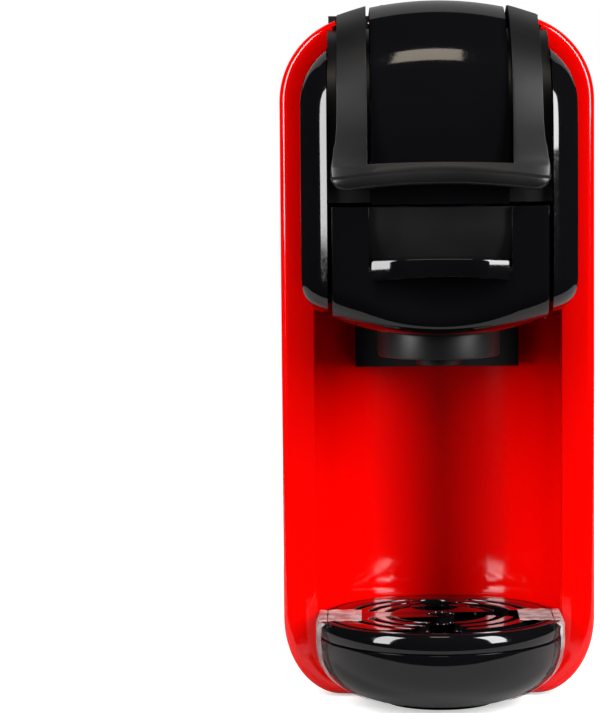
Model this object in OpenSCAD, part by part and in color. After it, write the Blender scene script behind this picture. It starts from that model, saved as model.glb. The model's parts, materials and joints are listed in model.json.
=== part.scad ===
// Pod coffee machine: a slim housing with a lever-closed brew head over a round drip tray,
// a pull-out capsule drawer and a lift-off water tank at the back.
// Millimetres, +Z up. The front faces -Y, and the origin is on the ground under the middle of the box.

/* [Housing] */
// Width of the red housing
body_w = 124; // [123:0.5:125]
// Height of the top of the red housing above the ground
body_top = 271.5; // [271:0.5:272]
// Radius of the housing's upper corners, seen from the front
corner_r = 34; // [33:1:35]
// Radius of the housing's lower corners, seen from the front
base_r = 28; // [26:1:30]
// Plane of the housing's front face
front_y = -95; // [-95.5:0.5:-94.5]
// Plane of the housing's rear edge
rear_y = 100; // [99.5:0.5:100]
// Wall thickness of the plastic shells
wall = 2.5; // [2.2:0.1:2.8]

/* [Cup bay] */
// Centre of the cup bay, drip tray and capsule, along Y
bay_y = -103; // [-103.5:0.5:-102.5]
// Radius of the concave red wall behind the cup
bay_r = 49.5; // [49.5:0.5:50]
// Outer radius of the drip tray's rim
tray_r = 48.5; // [48:0.5:48.5]
// Height of the tray's rim
tray_top = 34.8; // [34.5:0.1:35]
// Turn of the loose grid in its tray, in degrees
grid_turn = 5; // [0:1:20]

/* [Brew head] */
// Front of the nose, along Y
nose_y = -143; // [-143.2:0.1:-142.8]
// Radius of the nose's curve over to the top
nose_r = 55; // [54:0.5:56]
// Height of the crown of the glossy cover, the top of the machine
cover_top = 277; // [276.5:0.5:277.5]
// Lowest height of the head's chin
chin_z = 147.5; // [147:0.5:148]
// Gap between the housing's outline and the head's outline
head_inset = 8.5; // [8:0.5:9]
// Height of the drawer's top edge
drawer_z = 198.4; // [198:0.1:198.6]
// Half width of the capsule drawer
drawer_x = 41.4; // [41:0.1:41.6]
// Half width of the glossy cover between the lever arms
cover_x = 26.3; // [26:0.1:26.5]

/* [Lever] */
// Pivot of the lever, along Y
pivot_y = -58; // [-58.5:0.5:-57.5]
// Pivot of the lever, above the ground
pivot_z = 256; // [255.5:0.5:256]
// Radius of the lever's pivot shafts
shaft_r = 4; // [3.8:0.1:4]
// Inner face of a lever arm, from the middle
arm_in = 27.8; // [27.7:0.1:28]
// Outer face of a lever arm, from the middle
arm_out = 41.6; // [41.3:0.1:41.8]
// Throw of the crank that moves the piston
crank_r = 7; // [6.5:0.5:7]

/* [Water tank] */
// Half width of the water tank
tank_x = 47; // [46:1:48]
// Rear plane of the tank's dock
dock_rear_y = 151.5; // [151:0.5:151.5]
// Height of the tank's open rim
tank_rim_z = 252; // [248:1:254]
// Height of the dock's top, where the tank stands
dock_z = 25; // [25:0.5:26]

/* [Hidden] */
ahead = -160;  // a cut that starts in front of the nose
far = 300;  // a cut that runs past every face
lip_bow_r = 300;  // bow of the bar's upper edge
bar_bow_r = 200;  // bow of the bar's lower edge
bar_sag = 3.6;  // rise of the lower edge in the middle
$fn = 48;
floor_z = 2;
shell_z = 1;
half_w = body_w / 2;
head_x = half_w - head_inset;
head_top = body_top - head_inset;
head_floor = 151;
head_top_r = corner_r - head_inset;
jaw_r = 19.5;
chin_r = 14;
chin_bow_r = 117;
nose_z = cover_top - nose_r;
channel_x = 43.2;
crown_r = 225;
plan_r = 150;
plan_corner_r = 26;
arm_y = nose_y + nose_r - 1.4;
arm_z = nose_z - 3.5;
arm_r = 56.5;
arm_t = 7.5;
hub_r = 8;
bar_low = 203;
bar_high = 215;
bar_front = -151.3;
bar_back = -144.2;
well_rear = -35;
well_z = 244;
skirt = 12;
cover_end = 45;
cover_end_z = 273.4;
button_y = 6;
button_x = 12.5;
button_r = 8.6;
button_top = 276.2;
bay_top = 158;
cup_r = 22;
piston_z = drawer_z + 0.5;
guide_z = 222;
stem_r = 8;
pin_angle = 45;
pin_y = pivot_y - crank_r * cos(pin_angle);
pin_z = pivot_z - crank_r * sin(pin_angle);
pin_r = 2.5;
rail_z = 170;
tank_front = rear_y + 3.5;
tank_y = (tank_front + dock_rear_y - 0.5) / 2;
hinge_y = dock_rear_y - 7;
hinge_z = tank_rim_z + 3.7;
bowl_h = 27;
bowl_steps = [0.5, 1.5, 3.5, 6.5, 10.5, 15.5, 21];
nest_gap = 1.2;
bowl_wall = 3;
ledge_z = 31;
ledge_r = 41.5;
gland_x = 54;
gland_z = 50;
foot_spots = [[38, -60], [38, 85], [38, 140]];
screw_spots = [[26, -38], [26, 78]];

// ---- outlines and solids shared by several parts ----

// A rectangle from z0 to z1 and x to each side, with round corners at the bottom and at the top.
module rounded(x, z0, z1, r_low, r_high) {
    translate([-x, z0 + r_low]) square([2 * x, z1 - z0 - r_low - r_high]);
    translate([-x + r_low, z0]) square([2 * (x - r_low), r_low + 1]);
    translate([-x + r_high, z1 - r_high - 1]) square([2 * (x - r_high), r_high + 1]);
    for (s = [-1, 1]) {
        translate([s * (x - r_low), z0 + r_low]) circle(r_low);
        translate([s * (x - r_high), z1 - r_high]) circle(r_high);
    }
}

// A shape drawn in X and Z, given depth along Y.
module along_y(y0, y1) {
    translate([0, y1, 0]) rotate([90, 0, 0]) linear_extrude(y1 - y0) children();
}

// A shape drawn in Y and Z, given width along X.
module along_x(x0, x1) {
    translate([x0, 0, 0]) rotate([90, 0, 90]) linear_extrude(x1 - x0) children();
}

module box(x0, x1, y0, y1, z0, z1) {
    translate([x0, y0, z0]) cube([x1 - x0, y1 - y0, z1 - z0]);
}

module both_sides() {
    children();
    mirror([1, 0, 0]) children();
}

module rod_x(x0, x1, y, z, r) {
    translate([x0, y, z]) rotate([0, 90, 0]) cylinder(r = r, h = x1 - x0);
}

module rod_y(x, y0, y1, z, r) {
    translate([x, y1, z]) rotate([90, 0, 0]) cylinder(r = r, h = y1 - y0);
}

module rod_z(x, y, z0, z1, r) {
    translate([x, y, z0]) cylinder(r = r, h = z1 - z0);
}

module ring_z(x, y, z0, z1, r_out, r_in) {
    difference() {
        rod_z(x, y, z0, z1, r_out);
        rod_z(x, y, z0 - 1, z1 + 1, r_in);
    }
}

// Points on a smooth curve through the given points, and a hose of radius r along it.
function unit(v) = v / norm(v);
function spot(p, i) = p[max(0, min(len(p) - 1, i))];
function curve(p, n) = [for (i = [0:len(p) - 2]) for (k = [0:n - (i == len(p) - 2 ? 0 : 1)])
    let (t = k / n, a = spot(p, i - 1), b = p[i], c = p[i + 1], d = spot(p, i + 2))
    (2 * b + (c - a) * t + (2 * a - 5 * b + 4 * c - d) * t * t + (3 * b - a - 3 * c + d) * t * t * t) / 2];

module hose(p, r, n = 4, sides = 8) {
    c = curve(p, n);
    last = len(c) - 1;
    rings = [for (i = [0:last])
        let (t = unit(spot(c, i + 1) - spot(c, i - 1)), u = unit(cross(t, [0.31, 0.53, 0.79])),
            v = cross(t, u))
        for (k = [0:sides - 1]) c[i] + r * (cos(360 * k / sides) * u + sin(360 * k / sides) * v)];
    skin = [for (i = [0:last - 1]) for (k = [0:sides - 1]) let (m = (k + 1) % sides)
        [i * sides + k, i * sides + m, (i + 1) * sides + m, (i + 1) * sides + k]];
    ends = [[for (k = [sides - 1:-1:0]) k], [for (k = [0:sides - 1]) last * sides + k]];
    polyhedron([for (q = rings) q], concat(skin, ends), convexity = 8);
}

// A wire spring standing along Z.
module spring(x, y, z0, z1, r, wire, turns) {
    steps = turns * 12;
    hose([for (i = [0:steps]) [x + r * cos(i * 30), y + r * sin(i * 30),
        z0 + wire + (z1 - z0 - 2 * wire) * i / steps]],
        wire, 1, 6);
}

// A flat-headed screw driven upwards, with a cross recess.
module screw_up(x, y, z, length) {
    difference() {
        union() {
            rod_z(x, y, z, z + 2, 3);
            rod_z(x, y, z + 1, z + length, 1.5);
        }
        box(x - 2, x + 2, y - 0.4, y + 0.4, z - 1, z + 1);
        box(x - 0.4, x + 0.4, y - 2, y + 2, z - 1, z + 1);
    }
}

// The housing and the head seen from the front, with their edges moved in by e.
module housing_face(e = 0) {
    rounded(half_w - e, shell_z + e, body_top - e, base_r - e, corner_r - e);
}

module head_face(e = 0) {
    rounded(head_x - e, head_floor + e, head_top - e, jaw_r - e, head_top_r - e);
}

// The nose seen from the side, back to rear, and from above.
module nose_side(e, rear) {
    translate([nose_y + nose_r, nose_z]) circle(nose_r - e);
    translate([nose_y + e, chin_z + chin_r]) square([rear - nose_y - e, nose_z - chin_z - chin_r]);
    translate([nose_y + nose_r, nose_z - 40]) square([rear - nose_y - nose_r, 40 + nose_r - e]);
    translate([nose_y + chin_r, chin_z + e]) square([rear - nose_y - chin_r, 40]);
    translate([nose_y + chin_r, chin_z + chin_r]) circle(chin_r - e);
}

module nose_plan(e) {
    intersection() {
        translate([0, nose_y + plan_r]) circle(plan_r - e, $fn = 96);
        translate([0, nose_y + 2.6 + e]) rounded(head_x - e, 0, 130, plan_corner_r - e, 1);
    }
}

// The head's nose as one solid, with its skin moved in by e.
module nose(e, rear) {
    intersection() {
        along_x(-head_x, head_x) nose_side(e, rear);
        translate([0, 0, 100]) linear_extrude(far) nose_plan(e);
    }
}

// The nose between the wings, whose chin bows down to its lowest point in the middle.
module drawer_nose(e) {
    intersection() {
        nose(e, -60);
        along_y(-170, 0) translate([0, chin_z + chin_bow_r]) circle(chin_bow_r - e, $fn = 96);
    }
}

// The room for the cup and, under it, a nest that follows the drip bowl.
module bay_room() {
    translate([0, bay_y, 0]) rotate_extrude($fn = 96) polygon(concat(
        [[0, -1], [bowl_at(1) + nest_gap, -1]],
        [for (z = [1, 2.5, 4.5, 7.5, 11.5, 16.5, 21.5]) [bowl_at(z) + nest_gap, z]],
        [[bay_r, bowl_h + 1], [bay_r, bay_top + 0.2], [0, bay_top + 0.2]]));
}

// ---- housing ----

module side_shell_right() {
    color("red") difference() {
        along_y(front_y, rear_y) housing_face();
        along_y(front_y + wall, rear_y + 1) housing_face(wall);
        along_y(front_y - 1, front_y + wall + 1) head_face();
        bay_room();
        rod_z(0, bay_y, bay_top - 3, bay_top + 0.2, bay_r);
        box(-channel_x, channel_x, front_y - 1, well_rear + 0.2, well_z, body_top + 1);
        box(-22, 22, well_rear - 1, cover_end - 6, body_top - 6, body_top + 1);
        box(-45, 45, front_y + wall, rear_y + 1, 0, floor_z + wall + 1);
        box(-30, 30, front_y - 1, rear_y + 1, 0, 12);
        box(-half_w - 1, 0, front_y - 1, rear_y + 1, 0, body_top + 1);
    }
}

module side_shell_left() {
    mirror([1, 0, 0]) side_shell_right();
}

module bay_panel() {
    color("red") intersection() {
        difference() {
            rod_z(0, bay_y, shell_z, bay_top, bay_r + wall - 0.1);
            bay_room();
        }
        along_y(front_y + wall + 0.1, rear_y) housing_face(wall + 0.2);
    }
}

module base_plate() {
    color("dimgray") difference() {
        box(-44.8, 44.8, front_y + 1, dock_rear_y - 3, floor_z, 5);
        rod_z(0, bay_y, -1, 10, bay_r + wall + 0.2);
        both_sides() {
            for (p = foot_spots) rod_z(p[0], p[1], 0, 10, 2.6);
            for (p = screw_spots) {
                rod_z(p[0], p[1], 0, 10, 1.6);
                rod_z(p[0], p[1], 0, 4, 3.2);
            }
        }
        for (y = [-20:12:40]) box(-12, 12, y, y + 5, 0, 10);
    }
}

module rubber_feet() {
    color("black") both_sides() for (p = foot_spots) {
        rod_z(p[0], p[1], 0, floor_z, 7);
        rod_z(p[0], p[1], 1, 5.5, 2.5);
        rod_z(p[0], p[1], 5.1, 6.4, 3.2);
    }
}

module base_screws() {
    color("silver") both_sides() for (p = screw_spots) screw_up(p[0], p[1], floor_z, 14);
}

module rear_cover() {
    color("black") difference() {
        along_y(rear_y - wall, rear_y) housing_face(wall + 0.2);
        rod_y(gland_x, rear_y - 9, rear_y + 1, gland_z, 4.1);
        both_sides() for (z = [42, 232]) rod_y(30, rear_y - 9, rear_y + 1, z, 1.6);
        rod_y(0, rear_y - 9, rear_y + 1, 15, 5);
        for (z = [150:8:206]) box(-18, 18, rear_y - 9, rear_y + 1, z, z + 3);
        box(-46, 46, rear_y - 9, rear_y + 1, 0, 5.4);
    }
}

module rear_cover_screws() {
    color("silver") both_sides() for (z = [42, 232])
        translate([0, rear_y, z]) rotate([90, 0, 0]) translate([0, 0, -2]) screw_up(30, 0, 0, 13);
}

module cord_gland() {
    color("black") difference() {
        union() {
            rod_y(gland_x, rear_y - 9, rear_y + 8, gland_z, 4);
            rod_y(gland_x, rear_y, rear_y + 2, gland_z, 6);
            rod_y(gland_x, rear_y - wall - 2, rear_y - wall, gland_z, 4.3);
            rod_y(gland_x, rear_y + 7, rear_y + 9, gland_z, 4.4);
        }
        rod_y(gland_x, rear_y - 10, rear_y + 10, gland_z, 3.2);
    }
}

module tank_plan(e) {
    translate([0, tank_front + e]) rounded(tank_x - e, 0, dock_rear_y - 0.5 - tank_front - 2 * e,
        9 - e, 15 - e);
}

module tank_dock() {
    color("black") difference() {
        translate([0, 0, 5.2]) linear_extrude(dock_z - 5.2)
            translate([0, rear_y + 0.2]) rounded(tank_x + 3, 0, dock_rear_y - rear_y - 0.2, 1, 18);
        translate([0, 0, 4]) linear_extrude(dock_z - 4 - wall)
            translate([0, rear_y + 0.2 + wall]) rounded(tank_x + 3 - wall, 0,
                dock_rear_y - rear_y - 0.2 - 2 * wall, 1, 15);
        rod_z(0, tank_y, 0, dock_z + 1, 12.2);
        rod_y(0, rear_y - 1, rear_y + 9, 15, 5);
        both_sides() rod_z(foot_spots[2][0], foot_spots[2][1], 0, 7, 4);
    }
}

module dock_socket() {
    color("gray") difference() {
        union() {
            rod_z(0, tank_y, 9, dock_z, 12);
            rod_y(0, rear_y - 1.6, tank_y, 15, 4);
        }
        rod_z(0, tank_y, 12, dock_z + 1, 10);
        rod_y(0, rear_y - 3, tank_y, 15, 2);
    }
    color("gray") ring_z(0, tank_y, 12, 19, 2.5, 1);
}

module dock_seal() {
    color("dimgray") ring_z(0, tank_y, 20, 24, 9.95, 8.35);
}

// ---- brew head ----

module head_shell() {
    color("#111111") difference() {
        intersection() {
            along_y(ahead, front_y + wall) head_face(0.2);
            nose(0, -60);
        }
        intersection() {
            along_y(ahead, front_y + wall + 1) head_face(wall);
            nose(wall, -60);
        }
        box(-channel_x, channel_x, ahead, front_y, 100, far);
        box(-channel_x, channel_x, ahead, front_y + 9, 100, 255.5);
    }
    color("#111111") intersection() {
        box(-channel_x - 1, channel_x + 1, front_y, front_y + wall, 256, head_top);
        along_y(front_y - 1, front_y + 9) head_face(0.2);
    }
}

// The black channels that the lever's arms drop into, with a pocket round each pivot.
module lever_well() {
    color("#1c1c1c") both_sides() difference() {
        along_x(cover_x + 0.3, channel_x - 0.3) {
            difference() {
                translate([arm_y, arm_z]) circle(arm_r - arm_t - 1.5);
                translate([arm_y, arm_z]) circle(arm_r - arm_t - 3.5);
                translate([-far, 0]) square([far, arm_z]);
                translate([pivot_y - 9, 0]) square([far, far]);
            }
            translate([arm_y - arm_r + arm_t + 1.5, drawer_z + 1.5]) square([2, arm_z - drawer_z]);
            translate([pivot_y - 11, well_z + 0.3]) square([2, 13.5]);
            translate([pivot_y - 11, well_z + 0.3]) square([well_rear - pivot_y + 11, 2]);
            translate([well_rear - 2, well_z + 0.3]) square([2, body_top - well_z - 0.3]);
        }
        rod_x(0, cover_x + 2, pivot_y, pivot_z, shaft_r + 1);
    }
}

module cover_side(e, low) {
    intersection() {
        nose_side(e, 60);
        translate([ahead, low]) square([220, far]);
    }
}

module top_cover() {
    color("#0c0c0c") difference() {
        intersection() {
            along_x(-cover_x, cover_x) difference() {
                cover_side(0, drawer_z + 1);
                translate([well_rear, 0]) square([far, body_top + 0.1]);
                polygon([[nose_y + nose_r, cover_top], [cover_end, cover_end_z], [cover_end,
                    far], [-90, far]]);
                translate([cover_end, 0]) square([far, far]);
            }
            along_y(ahead, 100) translate([0, cover_top - crown_r]) circle(crown_r, $fn = 96);
        }
        along_x(-cover_x + wall, cover_x - wall) difference() {
            cover_side(wall, 0);
            polygon([[nose_y + nose_r, cover_top - wall - 0.6], [cover_end,
                cover_end_z - wall - 0.6], [far, far], [-90, far]]);
            translate([cover_end - wall, 0]) square([far, far]);
        }
        along_x(-cover_x - 1, cover_x + 1) cover_side(skirt, 0);
        box(-40, 40, pivot_y - 9, well_rear + 1, 0, 264.5);
        for (s = [-1, 1]) rod_z(s * button_x, button_y, 200, far, button_r + 0.35);
    }
}

module espresso_button() {
    button_at(-button_x);
}

module lungo_button() {
    button_at(button_x);
}

module button_at(x) {
    color("#222222") difference() {
        union() {
            rod_z(x, button_y, 267.5, button_top, button_r);
            rod_z(x, button_y, 262.6, 268, 3);
        }
        translate([x, button_y, button_top + 17.4]) sphere(18, $fn = 64);
    }
}

module button_board() {
    color("green") difference() {
        box(-22, 22, -12, 24, 254, 255.6);
        both_sides() rod_z(18.5, 20, 250, 260, 1.6);
    }
    color("gray") both_sides() rod_z(18.5, 20, 255.6, body_top - wall - 0.1, 3);
}

module button_switches() {
    color("black") for (s = [-1, 1]) {
        box(s * button_x - 3, s * button_x + 3, button_y - 3, button_y + 3, 255.6, 259.5);
        rod_z(s * button_x, button_y, 259.5, 261.2, 1.8);
    }
}

// The steel frame that carries the pivot and guides the piston.
module brew_frame() {
    color("silver") difference() {
        union() {
            both_sides() along_x(17.5, 20.5) polygon([[-76, bay_top + 3], [-49, bay_top + 3],
                [-49, pivot_z + 9],
                [pivot_y - 8, pivot_z + 9], [-118, guide_z + 12], [-118, guide_z], [-76, guide_z]]);
            box(-20.5, 20.5, -118, -49, guide_z, guide_z + 7);
            box(-20.5, 20.5, -52, -49, bay_top + 3, guide_z);
        }
        rod_z(0, bay_y, guide_z - 1, guide_z + 9, stem_r + 0.06);
        rod_x(-30, 30, pivot_y, pivot_z, 6.05);
        rod_z(-13, -70, guide_z - 1, guide_z + 9, 2);
    }
}

module pivot_bushes() {
    color("gold") both_sides() difference() {
        union() {
            rod_x(17.5, 20.5, pivot_y, pivot_z, 6);
            rod_x(16, 17.5, pivot_y, pivot_z, 7.5);
        }
        rod_x(10, 30, pivot_y, pivot_z, shaft_r + 0.05);
    }
}

// The black ceiling over the cup bay, with the box behind the outlet.
module brew_housing() {
    color("#151515") difference() {
        union() {
            intersection() {
                rod_z(0, bay_y, bay_top, bay_top + 2, bay_r + wall - 0.1);
                box(-80, 80, front_y + wall + 0.2, 0, 0, far);
            }
            box(-32.7, 32.7, -77, -66.3, 131, bay_top + 1);
        }
        box(-33.2, 33.2, -200, -77.5, 0, far);
        box(-30.2, 30.2, -74.5, -60, 133.5, far);
    }
}

module drawer_rails() {
    color("gray") both_sides() difference() {
        box(33.5, 40, -91.8, -57, rail_z - 4, rail_z + 8);
        box(30, 37.4, -99, -58.5, rail_z - 0.4, rail_z + 3.4);
    }
}

module chassis_plate() {
    color("silver") difference() {
        union() {
            box(-40, 40, -48.8, -46.8, 6, guide_z);
            box(-40, 40, -48.8, -22, 5.1, 7.1);
        }
        both_sides() rod_z(screw_spots[0][0], screw_spots[0][1], 0, 20, 1.6);
        for (z = [60, 190]) box(-14, 14, -60, -40, z, z + 22);
    }
}

module thermoblock() {
    color("lightgray") difference() {
        union() {
            box(-30, 30, -36, 26, 132, 158);
            for (y = [-30:8:18]) box(-32, 32, y, y + 3, 136, 154);
            rod_x(-42, -20, -20, 145, 4);
            rod_x(-42, -20, 8, 145, 4);
        }
        rod_x(-60, -25, -20, 145, 2.4);
        rod_x(-60, -25, 8, 145, 2.4);
        both_sides() for (y = [-32, 22]) rod_z(26, y, 120, 170, 2);
    }
}

module thermostats() {
    color("white") for (y = [-12, 14]) {
        rod_z(0, y, 158, 163, 8);
        both_sides() box(4, 5, y - 3, y + 3, 163, 170);
    }
}

module pump_coil() {
    color("navy") difference() {
        union() {
            box(-46, -12, 6, 52, 18, 52);
            box(-44, -14, 12, 46, 52, 55);
            box(-36, -35, 20, 26, 55, 62);
            box(-26, -25, 20, 26, 55, 62);
        }
        rod_y(-29, -10, 80, 35, 9.1);
    }
}

module pump_tube() {
    color("orange") difference() {
        union() {
            rod_y(-29, -14, 72, 35, 9);
            rod_y(-29, -22, -14, 35, 4);
            rod_y(-29, 72, 80, 35, 4);
        }
        rod_y(-29, -23, 81, 35, 2);
    }
}

module pump_mounts() {
    color("#202020") for (y = [-11, 62]) difference() {
        union() {
            rod_y(-29, y, y + 7, 35, 14);
            box(-41, -17, y, y + 7, 7.3, 35);
        }
        rod_y(-29, y - 1, y + 8, 35, 9.1);
        box(-33, -25, y - 1, y + 8, 12, 18);
    }
}

module flow_meter() {
    color("white") {
        difference() {
            rod_z(14, 60, 20, 34, 14);
            rod_z(14, 60, 30, 40, 11);
        }
        rod_z(14, 60, 30, 33, 8);
        rod_y(0, 60, 88, 25, 3);
        rod_x(14, 34, 50, 25, 3);
    }
}

module suction_hose() {
    color("ivory") hose([[0, 97.6, 15], [0, 94, 15], [-7, 89, 19], [-12, 84, 26], [-24, 83, 34],
        [-29, 82.4, 35],
        [-29, 80.9, 35]], 3.4);
}

module pressure_hose() {
    color("ivory") hose([[-29, -22.6, 35], [-29, -28, 36], [-34, -33, 46], [-48, -30, 70], [-50,
        -22, 110], [-49, -20, 138],
        [-46, -20, 145], [-42.6, -20, 145]], 3.4);
}

module brew_hose() {
    color("ivory") hose([[-42.8, 8, 145], [-47, 8, 147], [-50, 2, 165], [-44, -16, 205], [-30, -28, 230],
        [-15, -38, 238], [-13, -52, 240], [-13, -66, 239], [-13, -70, 234], [-13, -70, 229.3]], 3);
}

module power_board() {
    color("green") difference() {
        box(46, 47.6, 0, 78, 70, 180);
        for (y = [5, 73], z = [75, 175]) rod_x(40, 50, y, z, 1.6);
    }
}

module board_components() {
    color("gray") {
        box(28, 46, 10, 30, 90, 112);
        box(34, 46, 40, 62, 84, 98);
        rod_x(34.5, 46, 22, 140, 8);
        rod_x(34, 46, 50, 130, 5);
        for (z = [152:8:168]) box(40, 46, 40, 66, z, z + 4);
    }
    color("gray") for (y = [5, 73], z = [75, 175]) rod_x(47.6, 59.3, y, z, 3);
}

// ---- lever ----

module arm_side() {
    difference() {
        union() {
            translate([arm_y, arm_z]) circle(arm_r);
            translate([arm_y - arm_r, bar_low]) square([arm_t, arm_z - bar_low]);
        }
        translate([arm_y, arm_z]) circle(arm_r - arm_t);
        translate([arm_y - arm_r + arm_t, 100]) square([far, arm_z - 100]);
        translate([arm_y - arm_r - 1, 100]) square([20, bar_low - 100]);
        translate([pivot_y, 0]) square([far, far]);
    }
    translate([pivot_y, pivot_z]) circle(hub_r);
}

module lever_handle() {
    color("#1a1a1a") difference() {
        union() {
            both_sides() along_x(arm_in, arm_out) arm_side();
            intersection() {
                box(-arm_out, arm_out, bar_front, bar_back, bar_low, bar_high);
                along_y(ahead, -140) translate([0, bar_high - lip_bow_r]) circle(lip_bow_r, $fn = 96);
            }
        }
        along_y(ahead, -140) translate([0, bar_low + bar_sag - bar_bow_r]) circle(bar_bow_r, $fn = 96);
        rod_x(-60, 60, pivot_y, pivot_z, shaft_r + 0.05);
    }
}

// The cranked shaft between the arms. Its offset pin lifts the piston.
module lever_crank() {
    color("silver") {
        both_sides() {
            rod_x(6, arm_out - 3, pivot_y, pivot_z, shaft_r);
            difference() {
                rod_x(5.2, 8.8, pivot_y, pivot_z, 11.5);
                box(0, 20, pivot_y + 5, pivot_y + 30, 200, far);
            }
        }
        rod_x(-6, 6, pin_y, pin_z, pin_r);
    }
}

module lever_caps() {
    color("#101010") both_sides() difference() {
        union() {
            rod_x(arm_out - 2.9, arm_out, pivot_y, pivot_z, 3.9);
            rod_x(arm_out, arm_out + 0.5, pivot_y, pivot_z, 6);
        }
        rod_x(arm_out - 3, arm_out - 1, pivot_y, pivot_z, 2);
    }
}

// ---- piston ----

module piston() {
    color("#303030") difference() {
        union() {
            rod_z(0, bay_y, piston_z, 212, 20);
            rod_z(0, bay_y, 205, 240, stem_r);
            along_x(-4, 4) polygon([[bay_y - 4, 232], [-57.5, 232], [-57.5, 257.5], [-71, 257.5],
                [-76, 244],
                [bay_y - 4, 244]]);
        }
        along_x(-9, 9) {
            translate([pin_y - 5.4, pin_z - pin_r - 0.4]) square([9, 2 * pin_r + 0.8]);
        }
        difference() {
            rod_z(0, bay_y, 203, 206.6, 21);
            rod_z(0, bay_y, 200, 210, 17.4);
        }
        for (a = [0:120:240]) rotate_about(a) rod_z(9, 0, piston_z - 1, piston_z + 5, 1.2);
        rod_z(0, bay_y, piston_z - 1, piston_z + 9, 3);
    }
}

module rotate_about(a) {
    translate([0, bay_y, 0]) rotate([0, 0, a]) children();
}

module piston_seal() {
    color("dimgray") ring_z(0, bay_y, 203.2, 206.4, 20.4, 17.5);
}

// Three hollow needles let the water into the capsule.
module piercing_needles() {
    color("silver") for (a = [0:120:240]) rotate_about(a) difference() {
        rod_z(9, 0, piston_z - 0.2, piston_z + 4.9, 1.15);
        rod_z(9, 0, piston_z - 1, piston_z + 6, 0.5);
    }
}

// ---- drawer ----

module drawer_front() {
    color("#151515") difference() {
        intersection() {
            drawer_nose(0);
            box(-drawer_x, drawer_x, ahead, -98, 100, drawer_z);
        }
        intersection() {
            drawer_nose(wall);
            box(-drawer_x + wall, drawer_x - wall, ahead, 0, 100, drawer_z - wall);
        }
        box(-29, 29, ahead, -131.8, 146, 180.5);
        box(-28, 28, -138, -90, 170, drawer_z + 1);
        rod_z(0, bay_y, 140, 160, 25);
        box(-25, 25, bay_y, -90, 140, 160);
    }
}

// The glossy pull with its lip and the finger pocket under it.
module drawer_grip() {
    color("#0b0b0b") difference() {
        intersection() {
            drawer_nose(0.2);
            box(-28.8, 28.8, ahead, -132, chin_z + 0.2, 180.3);
        }
        box(-25.5, 25.5, ahead, -134.5, 155, 171);
        box(-25.5, 25.5, ahead, -140, 174, 190);
    }
}

module drawer_carrier() {
    color("#262626") difference() {
        union() {
            box(-27.8, 27.8, -131.5, -80, 162, drawer_z - 3.2);
            rod_z(0, bay_y, 150, 163, 24.6);
            both_sides() box(27, 32.8, -93, -80, rail_z, rail_z + 3);
            both_sides() box(32, 36.6, -91, -80, rail_z, rail_z + 3);
        }
        rod_z(0, bay_y, 140, 200, cup_r + 0.3);
        both_sides() box(20, 30, -129, -126, 164, 200);
    }
}

module capsule_cup() {
    color("#1f1f1f") difference() {
        union() {
            rod_z(0, bay_y, 152, 196, cup_r);
            rod_z(0, bay_y, drawer_z - 3, drawer_z - 0.6, 25.5);
        }
        rod_z(0, bay_y, 155, 200, 18.2);
        rod_z(0, bay_y, 140, 160, 5);
        for (a = [45:90:315]) rotate_about(a) rod_z(12, 0, 150, 156, 1.5);
    }
}

module cup_sieve() {
    color("silver") difference() {
        rod_z(0, bay_y, 155, 156, 18);
        for (a = [0:45:315]) rotate_about(a) for (r = [6, 12]) rod_z(r, 0, 150, 160, 1);
    }
}

// The round outlet under the drawer, with its spout.
module outlet_spout() {
    color("#181818") difference() {
        union() {
            rod_z(0, bay_y, 138, 149.8, 24);
            rod_z(0, bay_y, 134.5, 139, 9);
        }
        rod_z(0, bay_y, 137, 150.5, 21.4);
    }
    color("#181818") difference() {
        union() {
            rod_z(0, bay_y, 134.5, 141, 9);
            rod_z(0, bay_y, 139, 141, 21.6);
        }
        rod_z(0, bay_y, 130, 150, 3);
    }
}

// ---- water tank ----

module water_tank() {
    color("#5a6068") difference() {
        union() {
            translate([0, 0, dock_z + 1]) linear_extrude(tank_rim_z - dock_z - 1) tank_plan(0);
            rod_z(0, tank_y, 17, dock_z + 2, 8);
            both_sides() {
                box(20, 24, hinge_y - 3.5, hinge_y + 3.5, tank_rim_z - 1, hinge_z);
                rod_x(20, 24, hinge_y, hinge_z, 3.5);
            }
        }
        difference() {
            translate([0, 0, dock_z + 3.5]) linear_extrude(far) tank_plan(wall);
            box(-60, 60, hinge_y - 5.4, far, tank_rim_z - wall, far);
        }
        rod_z(0, tank_y, 10, 40, 4.2);
        rod_x(-30, 30, hinge_y, hinge_z, 1.55);
    }
}

module tank_valve() {
    color("white") {
        rod_z(0, tank_y, 19.6, dock_z + 5, 2.6);
        rod_z(0, tank_y, dock_z + 4.6, dock_z + 6.4, 6.4);
        rod_z(0, tank_y, dock_z + 6, dock_z + 8, 3);
    }
}

module valve_spring() {
    color("silver") spring(0, tank_y, dock_z + 6.5, dock_z + 17.3, 4.6, 0.5, 5);
}

module tank_filter() {
    color("white") difference() {
        rod_z(0, tank_y, dock_z + 3.6, dock_z + 19, 10.5);
        rod_z(0, tank_y, dock_z + 3, dock_z + 17.4, 9);
        for (a = [0:45:315]) translate([0, tank_y, 0]) rotate([0, 0, a]) box(6, 12, -1.5, 1.5,
            dock_z + 6, dock_z + 15);
    }
}

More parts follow.
